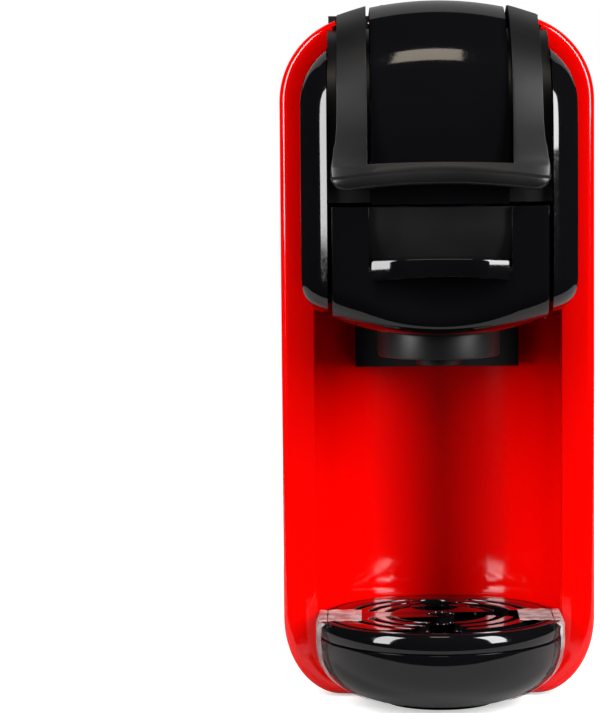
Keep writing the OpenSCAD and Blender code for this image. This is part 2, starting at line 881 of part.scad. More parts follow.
module tank_lid() {
    color("#151515") difference() {
        union() {
            difference() {
                translate([0, 0, tank_rim_z + 0.4]) linear_extrude(3.6) tank_plan(0.3);
                box(-60, 60, hinge_y - 5, far, 0, far);
            }
            box(-19.4, 19.4, hinge_y - 6, hinge_y, tank_rim_z + 0.6, tank_rim_z + 4);
            rod_x(-19.4, 19.4, hinge_y, hinge_z, 3.3);
            translate([0, 0, tank_rim_z - 1.6]) linear_extrude(3) intersection() {
                tank_plan(wall + 0.6);
                translate([-60, 90]) square([120, hinge_y - 6 - 90]);
            }
        }
        rod_x(-30, 30, hinge_y, hinge_z, 1.58);
        translate([0, 0, tank_rim_z - 3]) linear_extrude(3.6) intersection() {
            tank_plan(wall + 2.4);
            translate([-60, 90]) square([120, hinge_y - 8 - 90]);
        }
        box(-12, 12, tank_front - 1, tank_front + 1.6, tank_rim_z + 1, tank_rim_z + 9);
    }
}

module lid_hinge_pin() {
    color("silver") rod_x(-23.8, 23.8, hinge_y, hinge_z, 1.5);
}

// ---- drip tray ----

// Radius of the bowl at height z: full at the rim, rolling under to a small flat foot.
function bowl_at(z) = tray_r * pow(1 - pow((bowl_h - z) / bowl_h, 2.6), 1 / 2.6);

module drip_bowl() {
    color("#0d0d0d") translate([0, bay_y, 0]) rotate_extrude($fn = 96) polygon(concat(
        [[0, 0.5]],
        [for (z = bowl_steps) [bowl_at(z), z]],
        [[tray_r, bowl_h], [tray_r - bowl_wall, bowl_h], [tray_r - bowl_wall, bowl_h - 2]],
        [for (i = [len(bowl_steps) - 1:-1:3]) [bowl_at(bowl_steps[i]) - wall, bowl_steps[i]]],
        [[bowl_at(3.5) - wall, 4], [0, 4]]));
}

// The separate rim, with the ledge that carries the grid and a skirt that locates it in the bowl.
module tray_rim() {
    color("#0d0d0d") translate([0, bay_y, 0]) rotate_extrude($fn = 96) polygon([[tray_r, bowl_h],
        [tray_r, tray_top - 2.6], [tray_r - 0.9, tray_top - 0.7], [tray_r - 2.4, tray_top],
        [tray_r - 3.6, tray_top - 0.6], [tray_r - 3.8, ledge_z], [ledge_r, ledge_z], [ledge_r,
            ledge_z - 2],
        [tray_r - bowl_wall - 1.3, ledge_z - 3], [tray_r - bowl_wall - 1.3, bowl_h - 2],
        [tray_r - bowl_wall - 0.1, bowl_h - 2], [tray_r - bowl_wall - 0.1, bowl_h]]);
}

// A slot along an arc of radius r, w wide, from angle a to angle b.
module arc_slot(r, w, a, b) {
    intersection() {
        difference() {
            circle(r + w / 2);
            circle(r - w / 2);
        }
        polygon([[0, 0], [60 * cos(a), 60 * sin(a)], [60 * cos((a + b) / 2), 60 * sin((a + b) / 2)],
            [60 * cos(b), 60 * sin(b)]]);
    }
}

module drip_grid() {
    color("#121212") translate([0, bay_y, 31.3]) rotate([0, 0, grid_turn]) difference() {
        union() {
            cylinder(r = tray_r - 4.2, h = 3.2);
            translate([0, 0, 1]) cylinder(r = tray_r - 8.5, h = 3);
        }
        translate([0, 0, -1]) linear_extrude(9) {
            for (q = [0:3]) for (r = [21, 28, 35]) arc_slot(r, 2.9, q * 90 + 12,
                q * 90 + (r > 30 ? 66 : 70));
            translate([0, 22]) {
                translate([0, 3]) circle(9.3);
                translate([-9.3, -5]) square([18.6, 8]);
                translate([0, -5]) circle(9.3);
            }
            for (a = [0:90:270]) rotate(a) translate([3, 0]) circle(3);
            square(6, center = true);
        }
    }
}

// Clear transit tape, 25 wide, over each side of the tray.
module bowl_tapes() {
    color("#e6e6e6", 0.5) translate([0, bay_y, 0]) for (side = [0, 180]) rotate([0, 0, side - 15])
        rotate_extrude(angle = 30) polygon(concat(
            [[tray_r - 2.4, tray_top + 0.05], [tray_r - 0.8, tray_top - 0.6], [tray_r + 0.1,
                tray_top - 2.5], [tray_r + 0.1, bowl_h]],
            [for (i = [len(bowl_steps) - 1:-1:1]) [bowl_at(bowl_steps[i]) + 0.1, bowl_steps[i]]],
            [for (i = [1:len(bowl_steps) - 1]) [bowl_at(bowl_steps[i]) + 0.35, bowl_steps[i] - 0.1]],
            [[tray_r + 0.35, bowl_h], [tray_r + 0.35, tray_top - 2.4], [tray_r - 0.6,
                tray_top - 0.35], [tray_r - 2.4, tray_top + 0.3]]));
}

module grid_tapes() {
    color("#e6e6e6", 0.5) translate([0, bay_y, 0]) for (side = [0, 180]) rotate([0, 0, side - 15])
        rotate_extrude(angle = 30) polygon([[30, 35.35], [39.9, 35.35], [44, 34.55], [44.2,
            34.55], [44.2, 34.8],
            [40, 35.6], [30, 35.6]]);
}

side_shell_left();
side_shell_right();
bay_panel();
head_shell();
lever_well();
top_cover();
button_board();
button_switches();
espresso_button();
lungo_button();
base_plate();
rubber_feet();
base_screws();
rear_cover();
rear_cover_screws();
tank_dock();
dock_socket();
dock_seal();
cord_gland();
brew_frame();
pivot_bushes();
brew_housing();
drawer_rails();
thermoblock();
thermostats();
pump_coil();
pump_tube();
pump_mounts();
flow_meter();
suction_hose();
pressure_hose();
brew_hose();
power_board();
board_components();
chassis_plate();
lever_handle();
lever_crank();
lever_caps();
piston();
piston_seal();
piercing_needles();
drawer_front();
drawer_carrier();
drawer_grip();
capsule_cup();
cup_sieve();
outlet_spout();
water_tank();
tank_valve();
valve_spring();
tank_filter();
tank_lid();
lid_hinge_pin();
drip_bowl();
tray_rim();
bowl_tapes();
drip_grid();
grid_tapes();
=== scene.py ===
"""A slim pod coffee machine: a red housing, a glossy black brew head with its lever over the top, a capsule
drawer, a round drip tray in the foot, and a smoke-grey water tank hung behind."""
import json
from math import asin, cos, degrees, pi, radians, sin, sqrt

import bmesh
import bpy
import numpy as np
from mathutils import Matrix, Vector


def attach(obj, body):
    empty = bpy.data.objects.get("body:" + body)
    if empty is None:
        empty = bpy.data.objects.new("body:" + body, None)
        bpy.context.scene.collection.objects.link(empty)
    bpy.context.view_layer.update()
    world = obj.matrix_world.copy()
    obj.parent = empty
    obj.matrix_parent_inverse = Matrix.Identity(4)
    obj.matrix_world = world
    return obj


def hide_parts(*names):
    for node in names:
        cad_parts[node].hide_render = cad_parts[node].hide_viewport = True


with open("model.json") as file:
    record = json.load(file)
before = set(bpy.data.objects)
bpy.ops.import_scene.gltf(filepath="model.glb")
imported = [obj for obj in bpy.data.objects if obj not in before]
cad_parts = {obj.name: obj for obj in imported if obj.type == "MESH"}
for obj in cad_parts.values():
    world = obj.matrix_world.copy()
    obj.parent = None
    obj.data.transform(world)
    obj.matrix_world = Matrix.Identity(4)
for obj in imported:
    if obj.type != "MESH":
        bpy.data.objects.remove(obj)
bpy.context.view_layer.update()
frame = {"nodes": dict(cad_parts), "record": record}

scene = bpy.context.scene
MM = 0.001

# ---- Camera, floor and lights ----
# A product shot from just under lid height with a long lens, on white paper in a dark room. Each side has
# a tall softbox that only gloss sees, and a flagged one, turned further out, that only lights colour. One
# more stands behind, and a small one high up gives the window's reflection on the cover.
EYE = Vector((-0.0330, -1.4030, 0.2630))
PITCH, YAW, ROLL = radians(5.5), radians(0.95), radians(-0.5)
eye = bpy.data.cameras.new("camera")
eye.lens = 167.4
eye.sensor_width = 36.0
camera = bpy.data.objects.new("camera", eye)
camera.matrix_world = (Matrix.Translation(EYE) @ Matrix.Rotation(YAW, 4, "Z")
                       @ Matrix.Rotation(pi / 2 - PITCH, 4, "X") @ Matrix.Rotation(ROLL, 4, "Z"))
scene.collection.objects.link(camera)
scene.camera = camera
scene.view_settings.view_transform = "Standard"


def linear(hex_colour, alpha=1.0):
    """An sRGB hex colour as linear light."""
    part = [int(hex_colour[i:i + 2], 16) / 255 for i in (1, 3, 5)]
    return [c / 12.92 if c <= 0.04045 else ((c + 0.055) / 1.055) ** 2.4 for c in part] + [alpha]


def add(tree, kind, settings=None, links=None):
    """Adds one node, with its properties and input values, and links sockets into its inputs."""
    made = tree.nodes.new(kind)
    for key, value in (settings or {}).items():
        if isinstance(key, str) and hasattr(made, key):
            setattr(made, key, value)
        else:
            made.inputs[key].default_value = value
    for key, socket in (links or {}).items():
        tree.links.new(socket, made.inputs[key])
    return made


world = bpy.data.worlds.new("studio")
world.use_nodes = True
scene.world = world
sky = world.node_tree
sky.nodes.clear()
seen = add(sky, "ShaderNodeLightPath")
dark_room = add(sky, "ShaderNodeBackground", {"Color": linear("#5c5f63"), "Strength": 0.05})
soft_fill = add(sky, "ShaderNodeBackground", {"Color": linear("#ffffff"), "Strength": 0.16})
paper = add(sky, "ShaderNodeBackground", {"Color": linear("#ffffff"), "Strength": 1.0})
lit = add(sky, "ShaderNodeMixShader", links={0: seen.outputs["Is Diffuse Ray"], 1: dark_room.outputs[0],
                                             2: soft_fill.outputs[0]})
either = add(sky, "ShaderNodeMixShader", links={0: seen.outputs["Is Camera Ray"], 1: lit.outputs[0],
                                                2: paper.outputs[0]})
add(sky, "ShaderNodeOutputWorld", links={"Surface": either.outputs[0]})


def softbox(name, place, aim, width, height, power, colour="#ffffff"):
    """A rectangular soft light at place, turned to face aim."""
    light = bpy.data.lights.new(name, "AREA")
    light.shape = "RECTANGLE"
    light.size, light.size_y = width, height
    light.energy = power
    light.color = linear(colour)[:3]
    box = bpy.data.objects.new(name, light)
    box.location = place
    box.rotation_euler = (Vector(aim) - Vector(place)).to_track_quat("-Z", "Y").to_euler()
    scene.collection.objects.link(box)
    return box


AIM = (0, -0.1, 0.16)
SIDE_FAR = 1.34
for side, turn, high, lift, watts in (("left", -56.5, 1.42, 0.74, 30), ("right", 54.5, 1.4, 0.81, 36)):
    place = (SIDE_FAR * sin(radians(turn)), AIM[1] - SIDE_FAR * cos(radians(turn)), lift)
    softbox("softbox_" + side, place, AIM, 0.46, high, watts).visible_diffuse = False
softbox("flagged_left", (-1.165, -0.773, 0.74), AIM, 0.46, 1.42, 30).visible_glossy = False
softbox("flagged_right", (1.11, -0.794, 0.81), AIM, 0.42, 1.4, 47).visible_glossy = False
softbox("softbox_back", (0.0, 1.40, 1.05), (0, 0.0, 0.25), 2.2, 1.2, 2.8).visible_camera = False
softbox("softbox_window", (-0.012, -0.47, 1.68), (0, -0.1, 0.25), 0.32, 0.30, 1.5, "#fff0de")


def material(name):
    """A new material with a Principled shader, ready for its colour, roughness and bump."""
    made = bpy.data.materials.new(name)
    made.use_nodes = True
    tree = made.node_tree
    return made, tree, tree.nodes["Principled BSDF"]


def mm_noise(tree, size_mm, detail=3.0, roughness=0.5):
    """Noise whose lumps are about size_mm across on the real object."""
    place = add(tree, "ShaderNodeTexCoord")
    lumps = {"Scale": 1000.0 / size_mm, "Detail": detail, "Roughness": roughness}
    return add(tree, "ShaderNodeTexNoise", lumps, {"Vector": place.outputs["Object"]})


def two_tone(tree, dark, light, noise):
    """A colour that drifts between two close tones as the noise does."""
    return add(tree, "ShaderNodeMix", {"data_type": "RGBA", 6: linear(dark), 7: linear(light)},
               {0: noise.outputs["Fac"]})


def spread(tree, noise, low, high, least, most):
    """The noise's stretch from low to high, spread over least to most."""
    ends = {"From Min": low, "From Max": high, "To Min": least, "To Max": most}
    return add(tree, "ShaderNodeMapRange", ends, {"Value": noise.outputs["Fac"]})


def relief(tree, noise, strength, depth=0.001):
    """A bump that follows the noise."""
    return add(tree, "ShaderNodeBump", {"Strength": strength, "Distance": depth},
               {"Height": noise.outputs["Fac"]})


def dress(tree, shader, tone, dull, bump, dull_socket="Roughness"):
    """Gives the shader its colour, its roughness and its bump."""
    tree.links.new(tone.outputs[2], shader.inputs["Base Color"])
    tree.links.new(dull.outputs[0], shader.inputs[dull_socket])
    tree.links.new(bump.outputs[0], shader.inputs["Normal"])


def paper_sweep():
    """Matt white background paper with a faint fibre: overexposed to the eye, and dim in the machine's
    gloss, as under lights that are shaded from the floor."""
    made, tree, shader = material("background_paper")
    tone = two_tone(tree, "#f2f2f1", "#fbfbfa", mm_noise(tree, 2.0))
    tree.links.new(tone.outputs[2], shader.inputs["Base Color"])
    tree.links.new(tone.outputs[2], shader.inputs["Emission Color"])
    shader.inputs["Emission Strength"].default_value = 0.5
    shader.inputs["Roughness"].default_value = 0.9
    shaded = add(tree, "ShaderNodeBsdfDiffuse", {"Color": linear("#aeaeae")})
    path = add(tree, "ShaderNodeLightPath")
    mixed = add(tree, "ShaderNodeMixShader", links={0: path.outputs["Is Camera Ray"], 1: shaded.outputs[0],
                                                    2: shader.outputs[0]})
    tree.links.new(mixed.outputs[0], tree.nodes["Material Output"].inputs["Surface"])
    return made


PAPER_WIDE, PAPER_DEEP, PAPER_BACK = 0.75, 0.69, 0.48
paper_edge = []
for i in range(90):
    turn = radians(4 * i)
    paper_edge.append((PAPER_WIDE * cos(turn), PAPER_BACK + PAPER_DEEP * sin(turn), 0.0))
floor_mesh = bpy.data.meshes.new("paper_floor")
floor_mesh.from_pydata(paper_edge, [], [tuple(range(90))])
floor = bpy.data.objects.new("paper_floor", floor_mesh)
floor_mesh.materials.append(paper_sweep())
scene.collection.objects.link(floor)

# ---- Housing shells ----
# Two injection-moulded ABS halves, joined along the top, with a rounded front edge, openings for the head
# and the cup bay, and a lower lip that follows the drip bowl. Moulded in solid red against a polished tool.
FRONT, REAR = -95.0, 100.0
HALF_W, TOP, FOOT = 62.0, 271.5, 1.0
TOP_R = 34.0
FOOT_RX, FOOT_RZ = 23.0, 31.0
FRONT_EASE = 3.0
HEAD_X, HEAD_TOP, HEAD_FLOOR = 53.5, 263.0, 151.0
HEAD_TOP_R, JAW_R = 25.5, 19.5
BAY_Y, BAY_R, BAY_TOP = -103.0, 49.5, 158.0
TRAY_R, BOWL_H = 48.5, 27.0
NEST_GAP, NEST_TOP = 1.2, 30.0
CHANNEL_X, WELL_REAR = 43.2, -35.0
ARM_ROOM, KEY_ROOM, KEY_ROOM_END, ROOF_LOW = 40.2, 22.0, 39.0, 262.0
SHELL_WALL, SEAM_HALF = 2.2, 0.12


def bowl_radius(z):
    """Radius of the drip bowl at height z."""
    return TRAY_R * (1 - ((BOWL_H - min(z, BOWL_H)) / BOWL_H) ** 2.6) ** (1 / 2.6)


def arc(cx, cz, rx, rz, start, end, count):
    """Points on an elliptical arc; the last point is left to what follows."""
    turn = [radians(start + (end - start) * i / count) for i in range(count)]
    return [(cx + rx * cos(t), cz + rz * sin(t)) for t in turn]


def line(a, b, count):
    """Points from a towards b; the last point is left to what follows."""
    return [(a[0] + (b[0] - a[0]) * i / count, a[1] + (b[1] - a[1]) * i / count) for i in range(count)]


def inset(path, amount):
    """The path moved amount to the inner side of its own run, for a path that goes clockwise."""
    pts = np.array(path, float)
    along = np.gradient(pts, axis=0)
    along /= np.linalg.norm(along, axis=1)[:, None]
    return pts + np.stack([along[:, 1], -along[:, 0]], 1) * amount


def skin(name, rows, loop=False, keep=None):
    """A mesh through rows of points in millimetres. loop joins each row's end to its start, and
    keep(x, y, z) says whether a face with that middle stays."""
    grid = np.array(rows, float)
    high, wide = grid.shape[:2]
    flat = grid.reshape(-1, 3)
    faces = []
    for r in range(high - 1):
        for c in range(wide if loop else wide - 1):
            d = (c + 1) % wide
            face = (r * wide + c, r * wide + d, (r + 1) * wide + d, (r + 1) * wide + c)
            if keep is None or keep(*flat[list(face)].mean(0)):
                faces.append(face)
    mesh = bpy.data.meshes.new(name)
    mesh.from_pydata((flat * MM).tolist(), [], faces)
    made = bpy.data.objects.new(name, mesh)
    scene.collection.objects.link(made)
    return made


def tidy(piece, angle=38):
    """Merges doubled points, drops loose ones, faces outwards, and shades smooth up to that angle."""
    shape = bmesh.new()
    shape.from_mesh(piece.data)
    bmesh.ops.remove_doubles(shape, verts=shape.verts, dist=0.00002)
    bmesh.ops.dissolve_degenerate(shape, edges=shape.edges, dist=0.00001)
    bmesh.ops.delete(shape, geom=[v for v in shape.verts if not v.link_faces], context="VERTS")
    bmesh.ops.recalc_face_normals(shape, faces=shape.faces)
    shape.to_mesh(piece.data)
    shape.free()
    piece.data.shade_smooth()
    piece.data.set_sharp_from_angle(angle=radians(angle))
    return piece


def settle(piece):
    """Applies the piece's modifiers to its mesh."""
    bpy.context.view_layer.update()
    graph = bpy.context.evaluated_depsgraph_get()
    final = bpy.data.meshes.new_from_object(piece.evaluated_get(graph))
    piece.modifiers.clear()
    piece.data = final
    return piece


def eased(piece, width=0.4, steps=2, angle=50):
    """Rounds every edge sharper than angle by width in millimetres."""
    bevel = piece.modifiers.new("eased_edges", "BEVEL")
    bevel.width = width * MM
    bevel.segments = steps
    bevel.limit_method = "ANGLE"
    bevel.angle_limit = radians(angle)
    bevel.use_clamp_overlap = True
    settle(piece)
    return tidy(piece, 34)


def thicken(piece, wall, ease=0.4, steps=2, cutters=(), flip=False):
    """Gives a sheet its wall on the inner side, cuts its holes and eases its edges. All in millimetres."""
    tidy(piece)
    if flip:
        piece.data.flip_normals()
    solid = piece.modifiers.new("wall", "SOLIDIFY")
    solid.thickness = wall * MM
    solid.offset = -1
    settle(piece)
    for cutter in cutters:
        cut = piece.modifiers.new("hole", "BOOLEAN")
        cut.object = cutter
        cut.solver = "EXACT"
        settle(piece)
        bpy.data.objects.remove(cutter)
    tidy(piece)
    return eased(piece, ease, steps) if ease else piece


def fit(piece, body, stuff, slot, *nodes):
    """Gives the piece its material, and makes it ride on its body in place of CAD nodes."""
    piece.data.materials.clear()
    piece.data.materials.append(stuff)
    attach(piece, body)
    if nodes:
        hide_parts(*nodes)
    return piece


def red_abs():
    """Solid red ABS, polished tool: deep saturated red under a clear gloss, with the slight ripple and the
    fine dust that a moulded panel shows in a reflection."""
    made, tree, shader = material("polished_red_abs")
    tone = two_tone(tree, "#da0100", "#e60300", mm_noise(tree, 60.0, 2.0))
    ripple = relief(tree, mm_noise(tree, 11.0, 1.0), 0.015)
    dust = spread(tree, mm_noise(tree, 1.2, 4.0, 0.7), 0.45, 0.8, 0.07, 0.16)
    dress(tree, shader, tone, dust, ripple)
    shader.inputs["IOR"].default_value = 1.53
    return made


RED = red_abs()


def outer_edge():
    """The housing's outline from the middle of the top, down the right side, to the foot."""
    side_x = HALF_W - TOP_R
    foot_z = FOOT + FOOT_RZ
    return (line((SEAM_HALF, TOP), (side_x, TOP), 6) + arc(side_x, TOP - TOP_R, TOP_R, TOP_R, 90, 0, 26)
            + line((HALF_W, TOP - TOP_R), (HALF_W, 165), 8)
            + line((HALF_W, 165), (HALF_W, BAY_TOP), 8)
            + line((HALF_W, BAY_TOP), (HALF_W, foot_z), 10)
            + arc(HALF_W - FOOT_RX, foot_z, FOOT_RX, FOOT_RZ, 0, -90, 22)
            + [(HALF_W - FOOT_RX, FOOT), (31, FOOT)])


def opening_edge():
    """The edge of the opening for the head and the cup bay, point for point beside outer_edge."""
    side_x, jaw_x, jaw_z = HEAD_X - HEAD_TOP_R, HEAD_X - JAW_R, HEAD_FLOOR + JAW_R
    bay_x = sqrt(BAY_R ** 2 - (FRONT - BAY_Y) ** 2)
    jaw_turn = degrees(asin((bay_x - jaw_x) / JAW_R)) - 90
    low = [NEST_TOP - 27.6 * (i / 23) ** 0.8 for i in range(1, 24)]
    return (line((SEAM_HALF, HEAD_TOP), (side_x, HEAD_TOP), 6)
            + arc(side_x, HEAD_TOP - HEAD_TOP_R, HEAD_TOP_R, HEAD_TOP_R, 90, 0, 26)
            + line((HEAD_X, HEAD_TOP - HEAD_TOP_R), (HEAD_X, jaw_z), 8)
            + arc(jaw_x, jaw_z, JAW_R, JAW_R, 0, jaw_turn, 8)
            + line((bay_x, jaw_z + JAW_R * sin(radians(jaw_turn))), (bay_x, NEST_TOP), 10)
            + [(bay_x, NEST_TOP)] + [(min(bay_x, bowl_radius(z) + NEST_GAP), z) for z in low])


def housing_half(side):
    """One half of the housing. side is 1 for the right half and -1 for the left."""
    edge, gap = np.array(outer_edge()), np.array(opening_edge())
    ease = np.minimum(FRONT_EASE, 0.35 * np.linalg.norm(edge - gap, axis=1))[:, None]
    inward = inset(edge, 1.0) - edge
    outward = inset(gap, -1.0) - gap
    rings = [(gap, FRONT + 2.0), (gap, FRONT + 0.6), (gap + 0.15 * outward, FRONT + 0.15),
             (gap + 0.5 * outward, FRONT), (edge + (ease + 0.25) * inward, FRONT)]
    for i in range(9):
        turn = radians(90 * i / 8)
        rings.append((edge + inward * ease * (1 - sin(turn)), FRONT + ease[:, 0] * (1 - cos(turn))))
    rings += [(edge, y) for y in (-91, -88, -60, WELL_REAR, 0, KEY_ROOM_END, 70, REAR - 1.6)]
    rings += [(edge + 0.15 * inward, REAR - 0.8), (edge + 0.6 * inward, REAR - 0.2),
              (edge + 1.2 * inward, REAR)]
    rows = []
    for ring, deep in rings:
        rows.append([(side * x, y, z) for (x, z), y in zip(ring, np.broadcast_to(deep, len(ring)))])

    def solid(x, y, z):
        lever_room = abs(x) < ARM_ROOM and y < WELL_REAR
        button_room = abs(x) < KEY_ROOM and WELL_REAR < y < KEY_ROOM_END
        return z <= ROOF_LOW or not (lever_room or button_room)

    return skin("housing_half_right" if side > 0 else "housing_half_left", rows, keep=solid)


for side, hand in ((1, "right"), (-1, "left")):
    half = thicken(housing_half(side), SHELL_WALL, 0.25)
    fit(half, "housing", RED, "red_gloss", "side_shell_" + hand)

# ---- Cup bay panel ----
# A curved red panel behind the cup, with a nest at its foot that the drip bowl slides into. It is a moulding
# of its own, in the same ABS as the shells.
bay_low = [2.2, 2.6, 3.6, 5, 7, 9.5, 12.5, 16, 20, 24, 27, NEST_TOP]
bay_rows = []
for z in bay_low + [NEST_TOP + (BAY_TOP - NEST_TOP) * i / 16 for i in range(1, 17)]:
    radius = min(BAY_R, bowl_radius(z) + NEST_GAP) if z < NEST_TOP else BAY_R
    turn = asin(min(0.98, (FRONT + 1.9 - BAY_Y) / radius))
    sweep = [turn + (pi - 2 * turn) * i / 72 for i in range(73)]
    bay_rows.append([(radius * cos(t), BAY_Y + radius * sin(t), z) for t in sweep])
panel = thicken(skin("cup_bay_panel", bay_rows), 2.0, 0.3, flip=True)
fit(panel, "housing", RED, "red_gloss", "bay_panel")

# ---- Head wings ----
# The glossy black flanks of the brew head: ABS, 2 mm wall, wrapped round the corners of the nose, with a
# bridge between them at the top behind the lever.
NOSE_Y, NOSE_R, NOSE_Z = -143.0, 55.0, 222.0
CHIN_Z, CHIN_R = 147.5, 14.0
CORNER_R = 15.0
PLAN_R = 500.0
CHIN_BOW, CHIN_FADE_TOP, CHIN_FADE = 117.0, 172, 16
WING_LOW, WING_STRAIGHT = 157.2, 232
BRIDGE_LOW = 256.5


def gloss_black():
    """Black ABS from a polished tool: nearly no colour of its own, so what the eye gets is the reflection,
    with a slight ripple, and fine dust that blurs it in places."""
    made, tree, shader = material("polished_black_abs")
    tone = two_tone(tree, "#060607", "#0b0b0d", mm_noise(tree, 40.0, 2.0))
    ripple = relief(tree, mm_noise(tree, 14.0, 1.0), 0.012)
    dust = spread(tree, mm_noise(tree, 1.0, 4.0, 0.7), 0.45, 0.8, 0.05, 0.14)
    dress(tree, shader, tone, dust, ripple)
    shader.inputs["IOR"].default_value = 1.5
    return made


def satin_black():
    """Black ABS with a fine spark texture from the tool: a soft broad sheen instead of a reflection."""
    made, tree, shader = material("satin_black_abs")
    grain = mm_noise(tree, 0.25, 2.0)
    cloud = mm_noise(tree, 25.0, 2.0)
    tone = two_tone(tree, "#0b0b0c", "#121213", cloud)
    bump = relief(tree, grain, 0.06, 0.0002)
    dress(tree, shader, tone, spread(tree, cloud, 0.3, 0.7, 0.36, 0.43), bump)
    return made


GLOSS, SATIN = gloss_black(), satin_black()


def chin_lift(x, z):
    """How far the chin's sweep raises a point at x, fading out above the chin."""
    share = min(1.0, max(0.0, (CHIN_FADE_TOP - z) / CHIN_FADE))
    return share * share * (3 - 2 * share) * (CHIN_BOW - sqrt(CHIN_BOW ** 2 - x * x))


def nose_front(z):
    """The front of the nose in the middle, at height z."""
    if z > NOSE_Z:
        return NOSE_Y + NOSE_R - sqrt(max(0.0, NOSE_R ** 2 - (z - NOSE_Z) ** 2))
    low = CHIN_Z + CHIN_R - z
    return NOSE_Y if low < 0 else NOSE_Y + CHIN_R - sqrt(max(0.0, CHIN_R ** 2 - low * low))


def corner_back(gap):
    """How far the nose's rounded corner falls back, at gap from the head's outline."""
    share = 1 - min(1.0, max(0.0, gap) / CORNER_R)
    return CORNER_R * (1 - sqrt(max(0.0, 1 - share * share)))


def wing_edge(z):
    """Half width of the head at height z."""
    top = HEAD_TOP - HEAD_TOP_R
    jaw = HEAD_FLOOR + JAW_R
    if z > top:
        return HEAD_X - HEAD_TOP_R + sqrt(max(0.0, HEAD_TOP_R ** 2 - (z - top) ** 2))
    if z < jaw:
        return HEAD_X - JAW_R + sqrt(max(0.0, JAW_R ** 2 - (jaw - z) ** 2))
    return HEAD_X


def wing_rows(side):
    """Rows of points across one wing, from the channel beside the lever round the corner to the housing."""
    high = HEAD_TOP - HEAD_TOP_R + sqrt(HEAD_TOP_R ** 2 - (CHANNEL_X + 0.3 - HEAD_X + HEAD_TOP_R) ** 2)
    heights = [WING_LOW + (CHIN_FADE_TOP - WING_LOW) * i / 16 for i in range(16)]
    heights += [CHIN_FADE_TOP + (WING_STRAIGHT - CHIN_FADE_TOP) * i / 14 for i in range(14)]
    heights += [WING_STRAIGHT + (high - WING_STRAIGHT) * sin(radians(90 * i / 26)) for i in range(27)]
    rows = []
    for z in heights:
        edge = wing_edge(z)
        reach = edge - CHANNEL_X
        row = []
        for i in range(15):
            x = CHANNEL_X + reach * sin(radians(90 * i / 14))
            top = z - (HEAD_TOP - HEAD_TOP_R)
            gap = edge - x
            if top >= 0:
                gap = min(gap, HEAD_TOP_R - sqrt(top ** 2 + (x - HEAD_X + HEAD_TOP_R) ** 2))
            bow = chin_lift(x, z)
            y = nose_front(max(CHIN_Z + 0.4, z - bow)) + x * x / (2 * PLAN_R) + corner_back(gap)
            row.append((side * x, y, z))
        first, last = row[0], row[-1]
        row = ([(first[0], FRONT + 0.5, z), (first[0], (FRONT + first[1]) / 2, z)] + row
               + [(last[0], last[1] + 1.5, z), (last[0], FRONT + 0.8, z)])
        rows.append(row)
    return rows


for side, hand, stands_for in ((1, "right", ["head_shell"]), (-1, "left", [])):
    wing = thicken(skin("head_wing_" + hand, wing_rows(side)), 2.0, 0.45, 3)
    fit(wing, "housing", GLOSS, "black_gloss", *stands_for)


def bridge_top(x):
    """Height of the bridge's upper edge at x, a little inside the head's rounded corners."""
    over = max(0.0, abs(x) - HEAD_X + HEAD_TOP_R)
    return min(HEAD_TOP - 0.4, HEAD_TOP - HEAD_TOP_R - 0.2 + sqrt(HEAD_TOP_R ** 2 - over ** 2))


bridge_x = (-43, -30, -15, 0, 15, 30, 43)
bridge_rows = [[(x, FRONT + y, bridge_top(x)) for x in bridge_x] for y in (0.2, 2.4)]
bridge_rows += [[(x, FRONT + y, BRIDGE_LOW) for x in bridge_x] for y in (2.4, 0.2)]
bridge_rows.append(bridge_rows[0])
bridge = eased(tidy(skin("head_bridge", bridge_rows)), 0.3)
fit(bridge, "housing", GLOSS, "black_gloss")

# ---- Top cover ----
# The glossy cover between the lever's arms, from the drawer up over the nose to the buttons: one ABS
# moulding with turned-down sides, clipped into the housing.
COVER_X, COVER_LOW, COVER_TOP = 26.3, 199.4, 277.0
COVER_END, COVER_END_Z = 45.0, 273.4
CROWN_R, SIDE_DEPTH = 130, 7.0
BUTTON_X, BUTTON_Y, BUTTON_HOLE = 12.5, 6.0, 8.95


def cover_run():
    """The cover's middle line as (y, z, outward y, outward z, crown radius, depth of the sides)."""
    run = [(NOSE_Y, z, -1.0, 0.0, PLAN_R, SIDE_DEPTH) for z in np.linspace(COVER_LOW, NOSE_Z, 8)[:-1]]
    for i in range(29):
        t = radians(90 * i / 28)
        run.append((NOSE_Y + NOSE_R * (1 - cos(t)), NOSE_Z + NOSE_R * sin(t), -cos(t), sin(t),
                    PLAN_R + (CROWN_R - PLAN_R) * min(1.0, i / 16), SIDE_DEPTH))
    start = NOSE_Y + NOSE_R
    for y in (-76, -62, -50, -40, -35.2, -34.8, -22, -10, 0, 10, 20, 30, 38, 42, 44.2):
        z = COVER_TOP + (COVER_END_Z - COVER_TOP) * (y - start) / (COVER_END - start)
        run.append((y, z, 0.0, 1.0, CROWN_R, SIDE_DEPTH if y < WELL_REAR else 0.0))
    return run


def cover_row(spot):
    """The cover's crowned line across one spot, with a turned-down side at each end."""
    y, z, ny, nz, crown, side = spot
    row = []
    reach = np.linspace(-1, 1, 25) * COVER_X
    bow = COVER_X ** 2 / (2 * crown)
    side = side if side else z - TOP - 0.15 - bow
    for x, extra in ([(-COVER_X, side)] + [(x, 0.0) for x in reach] + [(COVER_X, side)]):
        depth = x * x / (2 * crown) + extra
        row.append((x, y - ny * depth, z - nz * depth))
    return row


def close_ends(piece):
    """Puts a face over each open end of a tube."""
    caps = bmesh.new()
    caps.from_mesh(piece.data)
    bmesh.ops.holes_fill(caps, edges=caps.edges)
    bmesh.ops.recalc_face_normals(caps, faces=caps.faces)
    caps.to_mesh(piece.data)
    caps.free()
    return piece


